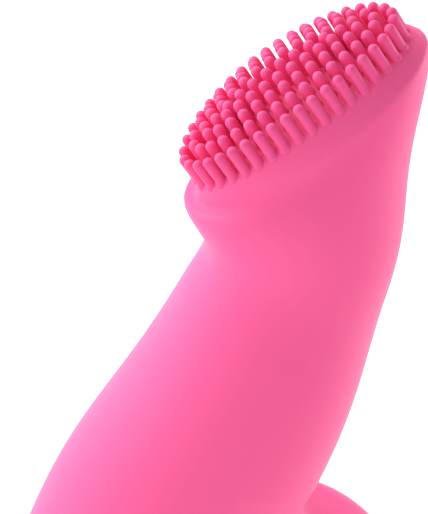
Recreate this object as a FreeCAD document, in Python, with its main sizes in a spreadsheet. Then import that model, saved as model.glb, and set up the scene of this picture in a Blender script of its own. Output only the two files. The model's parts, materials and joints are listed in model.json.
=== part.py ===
"""Soft silicone finger toothbrush: a hollow finger sleeve with a slanted, bristled head.

Frame (mm): origin at the centre of the sleeve's mouth, +Z along the finger, -X the brush (palm)
side, +X the nail side. The object is symmetric about the XZ plane.
"""
import FreeCAD, Part
import math
import os

import Sketcher
from FreeCAD import Placement, Rotation, Vector

SIZES = {
    # finger sleeve
    "bore_radius": 8.4,
    "sleeve_wall": 2.35,
    "sleeve_length": 34.0,
    "cuff_round": 0.8,
    "bore_straight": 22.0,
    "bore_taper": 1.7,
    "bore_taper_length": 10.0,
    "bore_end": 6.5,
    # hood over the knuckle, on the nail side
    "hood_half_depth": 9.6,
    "hood_reach": 16.0,
    "hood_below_shoulder": 10.1,
    "hood_round": 6.0,
    # grip ribs inside the sleeve, above its straight part
    "rib_count": 3,
    "rib_gap": 2.6,
    "rib_radius": 0.6,
    # brush face: where its middle is, and how it is turned
    "face_x": -7.43,
    "face_rise": 26.9,
    "face_tilt": 60.8,
    "lip_wall": 0.66,
    "lip_side_wall": 0.65,
    "lip_depth": 1.2,
    "lip_round": 1.15,
    "pad_margin": 0.02,
    "pad_side_margin": 0.38,
    "pad_depth": 1.2,
    # crown of the pad: its height in the middle, at the outermost ring's sides and at its ends
    "dome_height": 2.2,
    "dome_side_height": 0.9,
    "dome_end_height": 0.1,
    "dome_radius": 10.0,
    # bristles: the outermost ring, the steps inwards, and one bristle
    "ring_offset": -0.3,
    "ring_half_length": 10.0,
    "ring_half_width": 5.5,
    "ring_count": 4,
    "ring_step": 1.35,
    "bristle_spacing": 1.26,
    "bristle_radius": 0.42,
    "bristle_length": 2.35,
    "bristle_lean": 3.0,
    "root_clearance": 0.03,
    # soft neck, between two tilted planes
    "neck_bottom_rise": 7.0,
    "neck_bottom_tilt": 8.0,
    "neck_top_rise": 14.4,
    "neck_top_tilt": 22.0,
    # how far cutting shapes reach past what they cut
    "trim_margin": 1.0,
}

# Cross-sections of the outer skin between the straight sleeve and the lip. Each is an ellipse:
# what it is measured from, x, rise, tilt, and its half width and half depth as shares of the
# sleeve's outer radius or of the lip's half length and half width.
SECTIONS = {
    "shoulder": ("sleeve", 0.35, 1.0, 6.0, 0.907, 0.907),
    "neck": ("sleeve", -0.67, 12.3, 13.4, 0.758, 0.77),
    "throat": ("face", 3.86, -7.85, 33.0, 0.808, 1.17),
    "collar": ("face", 2.0, -3.9, 47.0, 0.905, 1.094),
}
SECTION_FIELDS = ("x", "rise", "tilt", "width_share", "depth_share")
STRAIGHT_SHARES = (0.0, 0.35, 0.7)  # where the straight sleeve's sections lie along it
TIP_BULGE = (0.74, 0.72)  # a point on the hollow's rounded end, as shares of its radius and height
EDGE_SAMPLES = 9
CURVE_STEPS = 720
BLOCK_SIDE = 80.0
NEAR = 1e-3

doc = FreeCAD.newDocument("finger_toothbrush")
sheet = doc.addObject("Spreadsheet::Sheet", "Sizes")
pieces = []


def fill_sheet():
    """Write every driving size into the sheet, one row each, and name its cell."""
    rows = dict(SIZES)
    for section, (_, *values) in SECTIONS.items():
        for field, value in zip(SECTION_FIELDS, values):
            rows[f"{section}_{field}"] = value
    for row, (name, value) in enumerate(rows.items(), start=1):
        sheet.set(f"A{row}", name)
        sheet.set(f"B{row}", str(value))
        sheet.setAlias(f"B{row}", name)
    doc.recompute()


def size(name):
    """The value of one named cell."""
    return float(sheet.get(name))


def bind(obj, links):
    """Tie an object's properties to formulas on the sheet."""
    for name, formula in links.items():
        obj.setExpression(name, formula)


def tilted(x, z, angle):
    """A place in the XZ plane whose X axis is raised by an angle in degrees."""
    return Placement(Vector(x, 0, z), Rotation(Vector(0, 1, 0), -angle))


def face_place():
    """The brush face's own frame: X along its length, Y across it, Z out of it."""
    return tilted(size("face_x"), size("sleeve_length") + size("face_rise"), size("face_tilt"))


def bristle_place():
    """The brush face's frame, moved along it to the middle of the bristle rings."""
    return face_place() * Placement(Vector(size("ring_offset"), 0, 0), Rotation())


def set_among_bristles(obj, depth):
    """Put an object in the frame of the bristle rings, at a depth below the face."""
    obj.Placement = Placement(Vector(0, 0, 0), Rotation(Vector(0, 1, 0), -1.0))
    bind(obj, {
        "Placement.Rotation.Angle": "-Sizes.face_tilt",
        "Placement.Base.x": "Sizes.face_x + Sizes.ring_offset * cos(Sizes.face_tilt)"
                            f" + {depth} * sin(Sizes.face_tilt)",
        "Placement.Base.z": "Sizes.sleeve_length + Sizes.face_rise"
                            " + Sizes.ring_offset * sin(Sizes.face_tilt)"
                            f" - {depth} * cos(Sizes.face_tilt)",
    })


def plane_of(body, role):
    """One of a body's own origin planes."""
    return next(f for f in body.Origin.OriginFeatures if f.Role == role)


def new_sketch(body, name, role):
    sketch = body.newObject("Sketcher::SketchObject", name)
    sketch.AttachmentSupport = (plane_of(body, role), [""])
    sketch.MapMode = "FlatFace"
    return sketch


def constrain(sketch, kind, *places, formula=None, value=1.0):
    """Add a constraint, tied to a formula on the sheet when one is given."""
    if formula is None:
        sketch.addConstraint(Sketcher.Constraint(kind, *places))
        return
    index = sketch.addConstraint(Sketcher.Constraint(kind, *places, value))
    sketch.setExpression(f"Constraints[{index}]", formula)


def boolean(kind, name, base, tool):
    """A Part::Cut or Part::Common of two objects."""
    obj = doc.addObject("Part::" + kind, name)
    obj.Base = base
    obj.Tool = tool
    return obj


def feature(name, shape):
    """An object that holds a shape made with Part's own functions."""
    obj = doc.addObject("Part::Feature", name)
    obj.Shape = shape
    return obj


def finish(obj, label):
    """Name an object as one of the finished sub-parts."""
    obj.Label = label
    pieces.append(obj)


# Outer skin

def ellipse_wire(half_width, half_depth, place):
    """An ellipse in a tilted plane; either of its axes may be the longer one."""
    if half_width >= half_depth:
        ellipse = Part.Ellipse(Vector(0, 0, 0), half_width, half_depth)
    else:
        ellipse = Part.Ellipse(Vector(0, half_depth, 0), Vector(half_width, 0, 0), Vector(0, 0, 0))
    wire = Part.Wire([ellipse.toShape()])
    wire.Placement = place
    return wire


def lip_sizes():
    """Half length and half width of the lip round the brush face."""
    bristles = size("bristle_radius")
    half_length = size("ring_half_length") + bristles + size("pad_margin") + size("lip_wall")
    half_width = (size("ring_half_width") + bristles + size("pad_side_margin")
                  + size("lip_side_wall"))
    return half_length, half_width


def skin_wires():
    """Every cross-section of the outer skin, from the cuff to the lip."""
    outer = size("bore_radius") + size("sleeve_wall")
    face = face_place()
    start = {"sleeve": Vector(0, 0, size("sleeve_length")), "face": face.Base}
    half_sizes = {"sleeve": (outer, outer), "face": lip_sizes()}
    wires = [ellipse_wire(outer, outer, tilted(0, share * size("sleeve_length"), 0))
             for share in STRAIGHT_SHARES]
    for section, (anchor, *_) in SECTIONS.items():
        x, rise, tilt, width_share, depth_share = (
            size(f"{section}_{field}") for field in SECTION_FIELDS)
        half_width, half_depth = half_sizes[anchor]
        place = tilted(start[anchor].x + x, start[anchor].z + rise, tilt)
        wires.append(ellipse_wire(width_share * half_width, depth_share * half_depth, place))
    for depth in (size("lip_depth"), 0.0):
        wires.append(ellipse_wire(*lip_sizes(), face * Placement(Vector(0, 0, -depth), Rotation())))
    return wires


def edge_in_plane(shape, place):
    """The edge of a shape that lies in a plane."""
    normal = place.Rotation.multVec(Vector(0, 0, 1))

    def off_plane(edge):
        points = edge.discretize(EDGE_SAMPLES)
        return max(abs((point - place.Base).dot(normal)) for point in points)

    return min(shape.Edges, key=off_plane)


def make_skin():
    """The whole outer form, with its lip and its cuff rounded."""
    loft = Part.makeLoft(skin_wires(), True, False, False)
    rounded = loft.makeFillet(size("lip_round"), [edge_in_plane(loft, face_place())])
    cuff = edge_in_plane(rounded, tilted(0, 0, 0))
    return feature("Skin", rounded.makeFillet(size("cuff_round"), [cuff]))


def block_above(name, plane):
    """Everything above one of the neck's two planes."""
    block = doc.addObject("Part::Box", name)
    block.Length = BLOCK_SIDE
    block.Width = BLOCK_SIDE
    block.Height = BLOCK_SIDE
    corner = Placement(Vector(-BLOCK_SIDE / 2, -BLOCK_SIDE / 2, 0), Rotation())
    place = tilted(size("neck_x"), size("sleeve_length") + size(f"{plane}_rise"),
                   size(f"{plane}_tilt"))
    block.Placement = place * corner
    return block


# Sleeve

def make_cavity():
    """The finger's hollow: straight, then tapering to a rounded end."""
    body = doc.addObject("PartDesign::Body", "Cavity")
    sketch = new_sketch(body, "CavityProfile", "XZ_Plane")
    radius = size("bore_radius")
    tip = radius - size("bore_taper")
    taper_top = size("bore_straight") + size("bore_taper_length")
    top = taper_top + size("bore_end")
    points = [Vector(0, 0, 0), Vector(radius, 0, 0), Vector(radius, size("bore_straight"), 0),
              Vector(tip, taper_top, 0)]
    for first, second in zip(points, points[1:]):
        sketch.addGeometry(Part.LineSegment(first, second))
    shoulder = Vector(TIP_BULGE[0] * tip, taper_top + TIP_BULGE[1] * size("bore_end"), 0)
    sketch.addGeometry(Part.Arc(points[-1], shoulder, Vector(0, top, 0)))
    sketch.addGeometry(Part.LineSegment(Vector(0, top, 0), points[0]))
    arc, axis = 3, 4
    start, end = (2, 1) if sketch.Geometry[arc].StartPoint.x < NEAR else (1, 2)
    constrain(sketch, "Coincident", 0, 1, -1, 1)
    constrain(sketch, "Coincident", 0, 2, 1, 1)
    constrain(sketch, "Coincident", 1, 2, 2, 1)
    constrain(sketch, "Coincident", 2, 2, arc, start)
    constrain(sketch, "Coincident", arc, end, axis, 1)
    constrain(sketch, "Coincident", axis, 2, 0, 1)
    constrain(sketch, "Horizontal", 0)
    constrain(sketch, "Vertical", 1)
    constrain(sketch, "Vertical", axis)
    constrain(sketch, "PointOnObject", arc, 3, -2)
    constrain(sketch, "DistanceX", 0, 1, 0, 2, formula="Sizes.bore_radius", value=radius)
    constrain(sketch, "DistanceY", 1, 1, 1, 2, formula="Sizes.bore_straight",
              value=size("bore_straight"))
    constrain(sketch, "DistanceX", 2, 2, 2, 1, formula="Sizes.bore_taper",
              value=size("bore_taper"))
    constrain(sketch, "DistanceY", 2, 1, 2, 2, formula="Sizes.bore_taper_length",
              value=size("bore_taper_length"))
    constrain(sketch, "DistanceY", arc, start, arc, end, formula="Sizes.bore_end",
              value=size("bore_end"))
    turn = body.newObject("PartDesign::Revolution", "CavityTurn")
    turn.Profile = sketch
    turn.ReferenceAxis = (sketch, ["V_Axis"])
    turn.Angle = 360
    body.Tip = turn
    return body


def make_hood():
    """The rounded shoulder over the knuckle, before the sleeve is taken out of it."""
    body = doc.addObject("PartDesign::Body", "Hood")
    sketch = new_sketch(body, "HoodOutline", "XY_Plane")
    depth = size("hood_half_depth")
    reach = size("hood_reach")
    sketch.addGeometry(Part.LineSegment(Vector(0, -depth, 0), Vector(reach, -depth, 0)))
    sketch.addGeometry(Part.ArcOfCircle(Part.Circle(Vector(reach, 0, 0), Vector(0, 0, 1), depth),
                                        -math.pi / 2, math.pi / 2))
    sketch.addGeometry(Part.LineSegment(Vector(reach, depth, 0), Vector(0, depth, 0)))
    sketch.addGeometry(Part.LineSegment(Vector(0, depth, 0), Vector(0, -depth, 0)))
    constrain(sketch, "Tangent", 0, 2, 1, 1)
    constrain(sketch, "Tangent", 1, 2, 2, 1)
    constrain(sketch, "Coincident", 2, 2, 3, 1)
    constrain(sketch, "Coincident", 3, 2, 0, 1)
    constrain(sketch, "Horizontal", 0)
    constrain(sketch, "Vertical", 3)
    constrain(sketch, "PointOnObject", 0, 1, -2)
    constrain(sketch, "PointOnObject", 1, 3, -1)
    constrain(sketch, "Radius", 1, formula="Sizes.hood_half_depth", value=depth)
    constrain(sketch, "DistanceX", 0, 1, 0, 2, formula="Sizes.hood_reach", value=reach)
    pad = body.newObject("PartDesign::Pad", "HoodPad")
    pad.Profile = sketch
    bind(pad, {"Length": "Sizes.sleeve_length - Sizes.hood_below_shoulder"})
    doc.recompute()
    fillets = (("HoodTop", pad.Shape.BoundBox.ZMax, "hood_round"), ("HoodCuff", 0.0, "cuff_round"))
    for name, height, radius in fillets:
        base = body.Tip
        edges = [f"Edge{number}" for number, edge in enumerate(base.Shape.Edges, start=1)
                 if all(abs(vertex.Z - height) < NEAR for vertex in edge.Vertexes)
                 and edge.CenterOfMass.x > NEAR]
        fillet = body.newObject("PartDesign::Fillet", name)
        fillet.Base = (base, edges)
        bind(fillet, {"Radius": "Sizes." + radius})
        body.Tip = fillet
        doc.recompute()
    return body


def make_sleeve(skin, cavity, neck_bottom):
    """The hollow part of the skin that holds the finger, and the hood on its nail side."""
    lower = boolean("Cut", "SkinBelowNeck", skin, neck_bottom)
    finish(boolean("Cut", "Sleeve", lower, cavity), "finger_sleeve")
    finish(boolean("Cut", "HoodShell", make_hood(), skin), "knuckle_hood")


def make_ribs(cavity):
    """Low rings standing in from the hollow's wall, above its straight part."""
    rings = []
    for number in range(int(size("rib_count"))):
        ring = doc.addObject("Part::Torus", f"Rib{number + 1}")
        bind(ring, {
            "Radius1": f"Sizes.bore_radius - {number + 1} * Sizes.rib_gap"
                       " * Sizes.bore_taper / Sizes.bore_taper_length",
            "Radius2": "Sizes.rib_radius",
            "Placement.Base.z": f"Sizes.bore_straight + {number + 1} * Sizes.rib_gap",
        })
        rings.append(ring)
    group = doc.addObject("Part::Compound", "RibRings")
    group.Links = rings
    finish(boolean("Common", "Ribs", group, cavity), "grip_ribs")


# Head

def make_neck(skin, neck_bottom, neck_top):
    """The soft stretch of the skin that lets the head tip."""
    upper = boolean("Common", "SkinAboveSleeve", skin, neck_bottom)
    finish(boolean("Cut", "Neck", upper, neck_top), "flex_neck")


def make_pad_block():
    """The bristle pad's outline, standing through the face."""
    outline = doc.addObject("Part::Ellipse", "PadOutline")
    bind(outline, {
        "MajorRadius": "Sizes.ring_half_length + Sizes.bristle_radius + Sizes.pad_margin",
        "MinorRadius": "Sizes.ring_half_width + Sizes.bristle_radius"
                       " + Sizes.pad_side_margin",
    })
    set_among_bristles(outline, "Sizes.pad_depth")
    block = doc.addObject("Part::Extrusion", "PadBlock")
    block.Base = outline
    block.Dir = Vector(0, 0, 1)
    block.DirMode = "Custom"
    block.Solid = True
    bind(block, {
        "Dir.x": "-sin(Sizes.face_tilt)",
        "Dir.z": "cos(Sizes.face_tilt)",
        "LengthFwd": "Sizes.pad_depth + Sizes.dome_height + Sizes.trim_margin",
    })
    return block


def dome_spread(drop):
    """How far out the dome has dropped by a given height, as a share of its full reach."""
    return math.sqrt(1 - (1 - drop / size("dome_radius")) ** 2)


def dome_reaches():
    """Half length and half width of the whole dome, from its heights round the outermost ring."""
    end_drop = size("dome_height") - size("dome_end_height")
    side_drop = size("dome_height") - size("dome_side_height")
    return (size("ring_half_length") / dome_spread(end_drop),
            size("ring_half_width") / dome_spread(side_drop))


def make_dome():
    """The ellipsoid whose cap crowns the pad."""
    stretch = FreeCAD.Matrix()
    stretch.scale(Vector(*dome_reaches(), size("dome_radius")))
    dome = feature("Dome", Part.makeSphere(1.0).transformGeometry(stretch))
    centre_depth = size("dome_radius") - size("dome_height")
    dome.Placement = bristle_place() * Placement(Vector(0, 0, -centre_depth), Rotation())
    return dome


def make_head(skin, neck_top):
    """The head with its pocket, and the crowned pad that fills the pocket."""
    upper = boolean("Common", "SkinAboveNeck", skin, neck_top)
    block = make_pad_block()
    finish(boolean("Cut", "Head", upper, block), "brush_head")
    finish(boolean("Common", "Pad", block, make_dome()), "bristle_pad")


# Bristles

def dome_height_at(along, across):
    """Height of the crowned pad above the face at one point of it."""
    reach, width = dome_reaches()
    inside = 1 - (along / reach) ** 2 - (across / width) ** 2
    return size("dome_radius") * (math.sqrt(inside) - 1) + size("dome_height")


def ring_points(half_length, half_width):
    """Evenly spaced points on an ellipse, from the middle of its long side."""
    angles = [math.pi / 2 + 2 * math.pi * step / CURVE_STEPS for step in range(CURVE_STEPS + 1)]
    line = [Vector(half_length * math.cos(a), half_width * math.sin(a), 0) for a in angles]
    travelled = [0.0]
    for first, second in zip(line, line[1:]):
        travelled.append(travelled[-1] + first.distanceToPoint(second))
    count = 2 * round(travelled[-1] / size("bristle_spacing") / 2)
    points = []
    for number in range(count):
        target = travelled[-1] * number / count
        nearest = min(range(CURVE_STEPS), key=lambda step: abs(travelled[step] - target))
        points.append(line[nearest])
    return points


def row_points(half_length):
    """Evenly spaced points along the pad's middle line."""
    gaps = round(2 * half_length / size("bristle_spacing"))
    return [Vector(-half_length + 2 * half_length * number / gaps, 0, 0)
            for number in range(gaps + 1)]


def dome_normal_at(along, across):
    """Direction straight out of the crowned pad at one point of it."""
    reach, width = dome_reaches()
    above_centre = dome_height_at(along, across) - size("dome_height") + size("dome_radius")
    normal = Vector(along / reach ** 2, across / width ** 2, above_centre / size("dome_radius") ** 2)
    return normal.normalize()


def make_bristles(name, points):
    """One round-tipped bristle on each point, its root cut to the slope of the pad."""
    radius = size("bristle_radius")
    length = size("bristle_length")
    root = size("trim_margin")
    side = 2 * (radius + root)
    below = Part.makeBox(side, side, side, Vector(-side / 2, -side / 2, -side))
    shank = Part.makeCylinder(radius, root + length - radius, Vector(0, 0, -root))
    bristle = shank.fuse(Part.makeSphere(radius, Vector(0, 0, length - radius))).removeSplitter()
    lean = Rotation(Vector(0, 1, 0), size("bristle_lean"))
    solids = []
    for point in points:
        foot = Vector(point.x, point.y, dome_height_at(point.x, point.y))
        normal = dome_normal_at(point.x, point.y)
        standing = bristle.copy()
        standing.Placement = Placement(foot, lean)
        cutter = below.copy()
        slope = Rotation(Vector(0, 0, 1), normal)
        cutter.Placement = Placement(foot + normal * size("root_clearance"), slope)
        solids.append(standing.cut(cutter).Solids[0])
    group = feature(name, Part.makeCompound(solids))
    group.Placement = bristle_place()
    finish(group, name)


def make_all_bristles():
    """The rings, from the outermost inwards, and the row along the middle."""
    count = int(size("ring_count"))
    for number in range(count):
        inwards = number * size("ring_step")
        points = ring_points(size("ring_half_length") - inwards,
                             size("ring_half_width") - inwards)
        make_bristles(f"bristle_ring_{number + 1}", points)
    row = size("ring_half_length") - count * size("ring_step")
    make_bristles("bristle_centre_row", row_points(row))


def check_document():
    """Stop if any object failed, or any sub-part has no sound shape."""
    doc.recompute()
    for obj in doc.Objects:
        if "Invalid" in obj.State or "Error" in obj.State:
            raise RuntimeError(f"{obj.Label} failed: {obj.State}")
    for obj in pieces:
        if obj.Shape.isNull() or not obj.Shape.isValid() or not obj.Shape.Solids:
            raise RuntimeError(f"{obj.Label} has no sound solid")


def write_pieces():
    """Write each sub-part to a STEP file with its own name."""
    os.makedirs("parts", exist_ok=True)
    for obj in pieces:
        box = obj.Shape.BoundBox
        print(f"{obj.Label}: {len(obj.Shape.Solids)} solids, {obj.Shape.Volume:.1f} mm3, "
              f"x {box.XMin:.2f} {box.XMax:.2f}, y {box.YMin:.2f} {box.YMax:.2f}, "
              f"z {box.ZMin:.2f} {box.ZMax:.2f}")
        obj.Shape.exportStep(os.path.join("parts", obj.Label + ".step"))


fill_sheet()
skin = make_skin()
cavity = make_cavity()
neck_bottom = block_above("NeckBottom", "neck_bottom")
neck_top = block_above("NeckTop", "neck_top")
make_sleeve(skin, cavity, neck_bottom)
make_ribs(cavity)
make_neck(skin, neck_bottom, neck_top)
make_head(skin, neck_top)
make_all_bristles()
check_document()
write_pieces()
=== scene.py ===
import json
import math

import bmesh
import bpy
from mathutils import Matrix, Vector


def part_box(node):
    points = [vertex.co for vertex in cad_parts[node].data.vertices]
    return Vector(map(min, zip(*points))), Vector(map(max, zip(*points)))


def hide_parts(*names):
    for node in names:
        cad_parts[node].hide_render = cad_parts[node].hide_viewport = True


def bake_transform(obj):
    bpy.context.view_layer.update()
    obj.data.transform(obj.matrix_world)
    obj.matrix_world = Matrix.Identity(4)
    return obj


bl_info = {
    "name": "Silicone finger toothbrush",
    "version": (1, 0, 0),
    "blender": (4, 5, 0),
    "location": "3D View > Sidebar > Finger brush",
    "description": "Builds the moulded skin, the bristles and the stage of a finger toothbrush",
    "category": "Object",
}

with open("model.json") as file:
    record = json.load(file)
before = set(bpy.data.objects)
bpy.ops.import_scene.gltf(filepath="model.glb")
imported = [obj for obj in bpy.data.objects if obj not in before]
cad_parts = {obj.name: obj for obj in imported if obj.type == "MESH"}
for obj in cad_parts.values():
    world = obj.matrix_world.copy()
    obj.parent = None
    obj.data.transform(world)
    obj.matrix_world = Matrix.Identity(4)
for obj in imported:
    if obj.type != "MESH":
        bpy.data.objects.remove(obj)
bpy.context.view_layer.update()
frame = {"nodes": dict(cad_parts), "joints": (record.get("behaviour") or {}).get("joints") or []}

MM = 0.001
JOINTS = {joint["name"]: joint for joint in frame["joints"]}
ALONG = Vector(JOINTS["bristle_flex"]["axis"]).normalized()
ACROSS = Vector((0.0, 1.0, 0.0))
OUTWARD = ALONG.cross(ACROSS).normalized()
RINGS = ("bristle_ring_1", "bristle_ring_2", "bristle_ring_3", "bristle_ring_4",
         "bristle_centre_row")
SKIN_NODES = ("finger_sleeve", "knuckle_hood", "flex_neck", "brush_head", "bristle_pad")


# ---------------------------------------------------------------- sizes and colours

class SkinSettings(bpy.types.PropertyGroup):
    """Sizes and colours of the moulded skin."""

    voxel: bpy.props.FloatProperty(
        name="Mesh size", description="Size of the skin's facets", default=0.27 * MM,
        min=0.1 * MM, subtype="DISTANCE", unit="LENGTH")
    soften: bpy.props.IntProperty(
        name="Soften", description="Smoothing passes over the whole skin", default=3, min=0)
    crease: bpy.props.FloatProperty(
        name="Hood crease", description="How far the hood's crease is rounded", default=6.0 * MM,
        min=0.0, subtype="DISTANCE", unit="LENGTH")
    crease_passes: bpy.props.IntProperty(
        name="Crease passes", description="Smoothing passes inside the hood's crease",
        default=420, min=0)
    hollow: bpy.props.FloatProperty(
        name="Neck hollow", description="How far the hollow under the head is eased",
        default=2.5 * MM, min=0.0, subtype="DISTANCE", unit="LENGTH")
    hollow_passes: bpy.props.IntProperty(
        name="Hollow passes", description="Smoothing passes over the hollow under the head",
        default=40, min=0)
    rim_passes: bpy.props.IntProperty(
        name="Rim passes", description="Smoothing passes over the rim round the pad",
        default=30, min=0)
    rim_height: bpy.props.FloatProperty(
        name="Rim depth", description="How far below the lowest bristle the rim is smoothed",
        default=0.9 * MM, subtype="DISTANCE", unit="LENGTH")
    rim_inner_share: bpy.props.FloatProperty(
        name="Rim start", description="Where the rim starts, as a share of the outermost ring",
        default=1.08, min=0.0)
    colour: bpy.props.FloatVectorProperty(
        name="Silicone", description="Main colour of the silicone", subtype="COLOR", size=3,
        default=(0.93, 0.105, 0.31), min=0.0, max=1.0)
    roughness: bpy.props.FloatProperty(
        name="Roughness", description="Roughness of the soft-touch surface", default=0.52,
        min=0.0, max=1.0, subtype="FACTOR")


class BristleSettings(bpy.types.PropertyGroup):
    """Sizes and colours of the bristles."""

    lean: bpy.props.FloatProperty(
        name="Lean", description="How far the bristles lean along the face",
        default=math.radians(2.0), subtype="ANGLE", unit="ROTATION")
    root_depth: bpy.props.FloatProperty(
        name="Root depth", description="How far each bristle runs into the pad",
        default=0.35 * MM, subtype="DISTANCE", unit="LENGTH")
    flare: bpy.props.FloatProperty(
        name="Root flare", description="How far the root spreads where it meets the pad",
        default=0.10 * MM, subtype="DISTANCE", unit="LENGTH")
    sides: bpy.props.IntProperty(
        name="Sides", description="Facets round one bristle", default=20, min=8)
    colour: bpy.props.FloatVectorProperty(
        name="Bristles", description="Colour of the bristles", subtype="COLOR", size=3,
        default=(0.89, 0.085, 0.285), min=0.0, max=1.0)


class StageSettings(bpy.types.PropertyGroup):
    """Camera, lights and floor."""

    view_right: bpy.props.FloatVectorProperty(
        name="View right", description="Direction to the right in the picture", size=3,
        default=(0.8757, -0.2002, 0.4395))
    view_up: bpy.props.FloatVectorProperty(
        name="View up", description="Direction upwards in the picture", size=3,
        default=(-0.2907, 0.5081, 0.8107))
    target: bpy.props.FloatVectorProperty(
        name="Target", description="Point in the middle of the picture", size=3,
        default=(-7.83 * MM, 0.0, 45.7 * MM), subtype="TRANSLATION", unit="LENGTH")
    distance: bpy.props.FloatProperty(
        name="Distance", description="From the camera to the target", default=130 * MM,
        subtype="DISTANCE", unit="LENGTH")
    view_height: bpy.props.FloatProperty(
        name="View height", description="Height of the view at the target",
        default=514 / 12 * MM, subtype="DISTANCE", unit="LENGTH")
    floor_colour: bpy.props.FloatVectorProperty(
        name="Floor", description="Colour of the pale floor", subtype="COLOR", size=3,
        default=(0.93, 0.93, 0.93), min=0.0, max=1.0)


# ---------------------------------------------------------------- material tools

class Value:
    """A shader socket that Python's arithmetic adds Math nodes to."""

    def __init__(self, shader, socket):
        self.shader = shader
        self.socket = socket

    def _math(self, operation, first, second):
        return self.shader.node("ShaderNodeMath", {"operation": operation}, {0: first, 1: second})

    def __add__(self, other):
        return self._math("ADD", self, other)

    __radd__ = __add__

    def __sub__(self, other):
        return self._math("SUBTRACT", self, other)

    def __rsub__(self, other):
        return self._math("SUBTRACT", other, self)

    def __mul__(self, other):
        return self._math("MULTIPLY", self, other)

    __rmul__ = __mul__


class Shader:
    """Builds one node material."""

    def __init__(self, name):
        self.material = bpy.data.materials.new(name)
        self.material.use_nodes = True
        self.tree = self.material.node_tree
        self.tree.nodes.clear()

    def node(self, kind, settings=None, inputs=None, output=0):
        """Add a node, set its settings, then its sockets' values or links."""
        node = self.tree.nodes.new(kind)
        for name, value in (settings or {}).items():
            setattr(node, name, value)
        for name, value in (inputs or {}).items():
            socket = node.inputs[name]
            if isinstance(value, Value):
                self.tree.links.new(value.socket, socket)
            else:
                socket.default_value = value
        return Value(self, node.outputs[output])

    def mix(self, factor, first, second):
        """A colour between two colours."""
        kind = {"data_type": "RGBA", "blend_type": "MIX"}
        return self.node("ShaderNodeMix", kind, {0: factor, 6: first, 7: second}, output=2)

    def finish(self, surface):
        self.node_output = self.tree.nodes.new("ShaderNodeOutputMaterial")
        self.tree.links.new(surface.socket, self.node_output.inputs["Surface"])
        return self.material


def rgba(colour):
    return (*colour, 1.0)


def silicone(name, colour, roughness, grain=0.012 * MM):
    """Soft-touch silicone: satin, faintly mottled, with pale grazing edges and a fine grain."""
    shader = Shader(name)
    place = shader.node("ShaderNodeTexCoord", output=3)
    cloud = shader.node("ShaderNodeTexNoise", {"noise_dimensions": "3D"},
                        {"Vector": place, "Scale": 90.0, "Detail": 3.0, "Roughness": 0.5})
    specks = shader.node("ShaderNodeTexNoise", {"noise_dimensions": "3D"},
                         {"Vector": place, "Scale": 5200.0, "Detail": 2.0, "Roughness": 0.6})
    mottled = shader.mix(cloud, rgba([0.965 * part for part in colour]),
                         rgba([min(1.0, 1.035 * part) for part in colour]))
    bump = shader.node("ShaderNodeBump", None,
                       {"Strength": 0.35, "Distance": grain, "Height": specks})
    surface = shader.node("ShaderNodeBsdfPrincipled", None, {
        "Base Color": mottled,
        "Roughness": cloud * 0.08 + (roughness - 0.04) + specks * 0.03,
        "IOR": 1.41,
        "Specular IOR Level": 0.35,
        "Sheen Weight": 0.12,
        "Sheen Roughness": 0.4,
        "Sheen Tint": (1.0, 0.80, 0.88, 1.0),
        "Normal": bump,
    })
    return shader.finish(surface)


def floor_finish(colour):
    """Matt pale paper with a very faint tooth."""
    shader = Shader("pale_floor")
    place = shader.node("ShaderNodeTexCoord", output=3)
    tooth = shader.node("ShaderNodeTexNoise", None, {"Vector": place, "Scale": 900.0})
    base = shader.mix(tooth, rgba([0.995 * part for part in colour]), rgba(colour))
    surface = shader.node("ShaderNodeBsdfPrincipled", None,
                          {"Base Color": base, "Roughness": 0.9, "Specular IOR Level": 0.1,
                           "Emission Color": (1.0, 1.0, 1.0, 1.0), "Emission Strength": 0.45})
    return shader.finish(surface)


def dress(piece, material):
    piece.data.materials.clear()
    piece.data.materials.append(material)


# ---------------------------------------------------------------- mesh tools

def new_piece(name, mesh):
    """Put a finished bmesh into the scene as a smooth-shaded object."""
    data = bpy.data.meshes.new(name)
    mesh.to_mesh(data)
    mesh.free()
    for face in data.polygons:
        face.use_smooth = True
    piece = bpy.data.objects.new(name, data)
    bpy.context.scene.collection.objects.link(piece)
    return piece


def merged_copy(names):
    """One bmesh that holds copies of several CAD nodes, with their doubles merged."""
    mesh = bmesh.new()
    for name in names:
        mesh.from_mesh(frame["nodes"][name].data)
    bmesh.ops.remove_doubles(mesh, verts=mesh.verts, dist=1e-7)
    return mesh


def apply_modifiers(piece):
    """Bake an object's modifiers into its mesh."""
    graph = bpy.context.evaluated_depsgraph_get()
    baked = bpy.data.meshes.new_from_object(piece.evaluated_get(graph))
    piece.modifiers.clear()
    piece.data = baked
    for face in piece.data.polygons:
        face.use_smooth = True


def smooth(mesh, verts, passes, factor=0.5):
    for _ in range(passes):
        bmesh.ops.smooth_vert(mesh, verts=verts, factor=factor,
                              use_axis_x=True, use_axis_y=True, use_axis_z=True)


# ---------------------------------------------------------------- skin

def hood_crease(mesh, reach):
    """Vertices near the line where the hood grows out of the sleeve, wider at its top."""
    hood_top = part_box("knuckle_hood")[1].z
    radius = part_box("finger_sleeve")[1].y
    side_reach = 0.45 * reach
    found = []
    for vert in mesh.verts:
        if vert.co.x < 0.0 or not side_reach < vert.co.z < hood_top + reach:
            continue
        beyond = math.hypot(vert.co.x, vert.co.y) - radius
        here = reach if vert.co.z > hood_top - reach else side_reach
        if -0.25 * reach < beyond < here:
            found.append(vert)
    return found


def neck_hollow(mesh, reach):
    """Vertices round the hollow below the front of the head, clear of the rim."""
    level = JOINTS["head_flex"]["pos_m"][2]
    floor = face_level() - reach
    found = []
    for vert in mesh.verts:
        below_rim = vert.co.dot(OUTWARD) < floor
        if vert.co.x < 0.0 and below_rim and abs(vert.co.z - level) < reach:
            found.append(vert)
    return found


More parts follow.
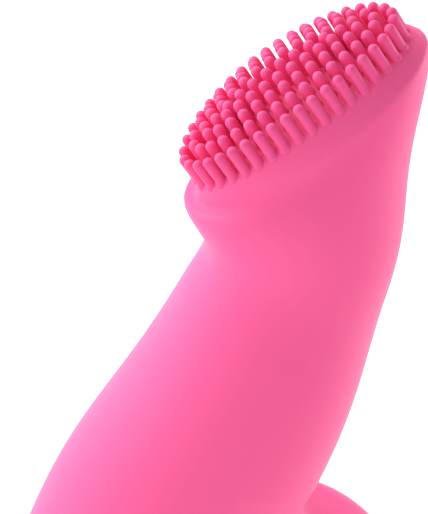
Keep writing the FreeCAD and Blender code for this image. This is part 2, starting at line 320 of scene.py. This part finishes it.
def face_level():
    """Height of the lowest bristle roots, measured out of the brush face."""
    return min(root.dot(OUTWARD) for root, _, _ in bristle_places("bristle_ring_1", OUTWARD))


def rim_band(mesh, settings):
    """Vertices of the soft rim, between the outermost bristles and the head's wall."""
    roots = [root for root, _, _ in bristle_places("bristle_ring_1", OUTWARD)]
    middle = sum(roots, Vector()) / len(roots)
    half_length = max(abs((root - middle).dot(ALONG)) for root in roots)
    half_width = max(abs(root.y) for root in roots)
    heights = [root.dot(OUTWARD) for root in roots]
    lowest = min(heights) - settings.rim_height
    found = []
    for vert in mesh.verts:
        offset = vert.co - middle
        share = math.hypot(offset.dot(ALONG) / half_length, offset.y / half_width)
        if lowest < vert.co.dot(OUTWARD) < max(heights) and share > settings.rim_inner_share:
            found.append(vert)
    return found


def build_skin(settings):
    """The moulded skin in one piece: sleeve, hood, neck, head and the crowned pad."""
    skin = new_piece("silicone_skin", merged_copy(SKIN_NODES))
    remesh = skin.modifiers.new("Even facets", "REMESH")
    remesh.mode = "VOXEL"
    remesh.voxel_size = settings.voxel
    apply_modifiers(skin)

    mesh = bmesh.new()
    mesh.from_mesh(skin.data)
    smooth(mesh, mesh.verts, settings.soften)
    smooth(mesh, hood_crease(mesh, settings.crease), settings.crease_passes)
    smooth(mesh, neck_hollow(mesh, settings.hollow), settings.hollow_passes)
    smooth(mesh, rim_band(mesh, settings), settings.rim_passes)
    mesh.to_mesh(skin.data)
    mesh.free()
    return skin


class BuildSkin(bpy.types.Operator):
    """Build the moulded silicone skin"""

    bl_idname = "finger_brush.skin"
    bl_label = "Skin"

    def execute(self, context):
        settings = context.scene.brush_skin
        skin = build_skin(settings)
        dress(skin, silicone("soft_silicone", settings.colour, settings.roughness))
        neck_low, neck_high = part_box("flex_neck")
        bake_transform(skin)
        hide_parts(*SKIN_NODES)
        return {"FINISHED"}


class BuildRibs(bpy.types.Operator):
    """Give the grip ribs inside the sleeve their silicone"""

    bl_idname = "finger_brush.ribs"
    bl_label = "Grip ribs"

    def execute(self, context):
        settings = context.scene.brush_skin
        dress(frame["nodes"]["grip_ribs"],
              silicone("rib_silicone", settings.colour, settings.roughness))
        return {"FINISHED"}


# ---------------------------------------------------------------- bristles

def islands(mesh):
    """The separate solids of a bmesh, each as a list of its vertices."""
    left = set(mesh.verts)
    found = []
    while left:
        group = [left.pop()]
        for vert in group:
            for edge in vert.link_edges:
                other = edge.other_vert(vert)
                if other in left:
                    left.remove(other)
                    group.append(other)
        found.append(group)
    return found


def bristle_places(node, axis):
    """Root point, length and radius of every bristle in a CAD node."""
    mesh = merged_copy([node])
    places = []
    for group in islands(mesh):
        heights = [vert.co.dot(axis) for vert in group]
        low, high = min(heights), max(heights)
        middle = sum((vert.co for vert in group), Vector()) / len(group)
        centre = middle - axis * middle.dot(axis)
        radius = max((vert.co - axis * vert.co.dot(axis) - centre).length for vert in group)
        places.append((centre + axis * low, high - low, radius))
    mesh.free()
    return sorted(places, key=lambda place: (round(place[0].x, 6), round(place[0].y, 6)))


def bristle_mesh(length, radius, settings):
    """A mesh of one bristle that stands at the origin along +Z."""
    mesh = bmesh.new()
    depth = settings.root_depth
    flare = settings.flare
    straight = length - radius
    points = [(0.0, -depth), (radius + flare, -depth)]
    for share in (0.0, 0.3, 0.65, 1.0):
        points.append((radius + flare * (1.0 - share) ** 2, 3.2 * flare * (0.3 + share)))
    points += [(radius, 0.5 * straight), (radius, straight)]
    for step in range(1, 6):
        angle = 0.5 * math.pi * step / 6
        points.append((radius * math.cos(angle), straight + radius * math.sin(angle)))
    points.append((0.0, length))
    verts = [mesh.verts.new((x, 0.0, z)) for x, z in points]
    edges = [mesh.edges.new(pair) for pair in zip(verts, verts[1:])]
    bmesh.ops.spin(mesh, geom=verts + edges, cent=(0, 0, 0), axis=(0, 0, 1),
                   angle=2 * math.pi, steps=settings.sides, use_merge=True)
    bmesh.ops.remove_doubles(mesh, verts=mesh.verts, dist=1e-7)
    bmesh.ops.recalc_face_normals(mesh, faces=mesh.faces)
    data = bpy.data.meshes.new("one_bristle")
    mesh.to_mesh(data)
    mesh.free()
    return data


def build_ring(node, settings):
    """All the bristles of one CAD node, as one mesh."""
    axis = (OUTWARD * math.cos(settings.lean) + ALONG * math.sin(settings.lean)).normalized()
    turn = axis.to_track_quat("Z", "Y").to_matrix()
    whole = bmesh.new()
    places = bristle_places(node, axis)
    for root, length, radius in places:
        one = bristle_mesh(length, radius, settings)
        one.transform(Matrix.Translation(root) @ turn.to_4x4())
        whole.from_mesh(one)
        bpy.data.meshes.remove(one)
    roots = [root.dot(OUTWARD) for root, _, _ in places]
    tips = [(root + axis * length).dot(OUTWARD) for root, length, _ in places]
    return new_piece(node + "_silicone", whole), max(roots), min(tips)


class BuildBristles(bpy.types.Operator):
    """Build every ring of bristles and the row along the middle"""

    bl_idname = "finger_brush.bristles"
    bl_label = "Bristles"

    def execute(self, context):
        settings = context.scene.brush_bristles
        skin = context.scene.brush_skin
        material = silicone("bristle_silicone", settings.colour, skin.roughness - 0.04)
        for node in RINGS:
            ring, root, tip = build_ring(node, settings)
            dress(ring, material)
            low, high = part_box(node)
            foot = 0.5 * (low + high)
            foot -= OUTWARD * foot.dot(OUTWARD)
            foot + OUTWARD * root
            foot + OUTWARD * (tip + 0.6 * MM)
            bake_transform(ring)
            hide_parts(node)
        return {"FINISHED"}


# ---------------------------------------------------------------- stage

def add_light(name, place, target, size, power, colour=(1.0, 1.0, 1.0)):
    """A square soft light that faces the target."""
    light = bpy.data.lights.new(name, "AREA")
    light.shape = "SQUARE"
    light.size = size
    light.energy = power
    light.color = colour
    lamp = bpy.data.objects.new(name, light)
    lamp.location = place
    lamp.rotation_euler = (target - place).to_track_quat("-Z", "Y").to_euler()
    bpy.context.scene.collection.objects.link(lamp)


def build_camera(settings):
    right = Vector(settings.view_right).normalized()
    up = Vector(settings.view_up)
    up = (up - right * up.dot(right)).normalized()
    back = right.cross(up)
    lens = bpy.data.cameras.new("camera")
    lens.sensor_fit = "VERTICAL"
    lens.sensor_height = 24.0
    lens.lens = 24.0 * settings.distance / settings.view_height
    lens.clip_start = 1 * MM
    camera = bpy.data.objects.new("camera", lens)
    camera.matrix_world = Matrix.Translation(Vector(settings.target) + back * settings.distance) \
        @ Matrix((right, up, back)).transposed().to_4x4()
    bpy.context.scene.collection.objects.link(camera)
    bpy.context.scene.camera = camera
    return right, up, back


def build_floor(settings):
    mesh = bmesh.new()
    bmesh.ops.create_circle(mesh, cap_ends=True, segments=96, radius=1.2)
    floor = new_piece("floor", mesh)
    dress(floor, floor_finish(settings.floor_colour))


class BuildStage(bpy.types.Operator):
    """Build the pale floor, the soft lights and the camera"""

    bl_idname = "finger_brush.stage"
    bl_label = "Stage"

    def execute(self, context):
        settings = context.scene.brush_stage
        right, up, back = build_camera(settings)
        build_floor(settings)
        target = Vector(settings.target)
        world = bpy.data.worlds.new("soft_room")
        world.use_nodes = True
        world.node_tree.nodes["Background"].inputs["Color"].default_value = (1, 1, 1, 1)
        world.node_tree.nodes["Background"].inputs["Strength"].default_value = 0.62
        context.scene.world = world
        context.scene.view_settings.view_transform = "Standard"
        add_light("key", target + 0.34 * up - 0.20 * right - 0.02 * back, target, 0.20, 1.1)
        add_light("left", target + 0.20 * up - 0.30 * right + 0.01 * back, target, 0.20, 0.45)
        add_light("edge", target + 0.06 * up + 0.30 * right - 0.12 * back, target, 0.20, 0.5)
        return {"FINISHED"}


# ---------------------------------------------------------------- add-on

class BrushPanel(bpy.types.Panel):
    """Buttons that build the finger brush"""

    bl_idname = "VIEW3D_PT_finger_brush"
    bl_label = "Finger brush"
    bl_space_type = "VIEW_3D"
    bl_region_type = "UI"
    bl_category = "Finger brush"

    def draw(self, context):
        for step in STEPS:
            self.layout.operator(step.bl_idname)


STEPS = (BuildStage, BuildSkin, BuildRibs, BuildBristles)
SETTINGS = {"brush_skin": SkinSettings, "brush_bristles": BristleSettings,
            "brush_stage": StageSettings}


def register():
    for kind in (*SETTINGS.values(), *STEPS, BrushPanel):
        bpy.utils.register_class(kind)
    for name, kind in SETTINGS.items():
        setattr(bpy.types.Scene, name, bpy.props.PointerProperty(type=kind))


def unregister():
    for name in SETTINGS:
        delattr(bpy.types.Scene, name)
    for kind in reversed((*SETTINGS.values(), *STEPS, BrushPanel)):
        bpy.utils.unregister_class(kind)


def main():
    """Build everything in order."""
    register()
    bpy.ops.finger_brush.stage()
    bpy.ops.finger_brush.skin()
    bpy.ops.finger_brush.ribs()
    bpy.ops.finger_brush.bristles()


if __name__ == "__main__":
    main()
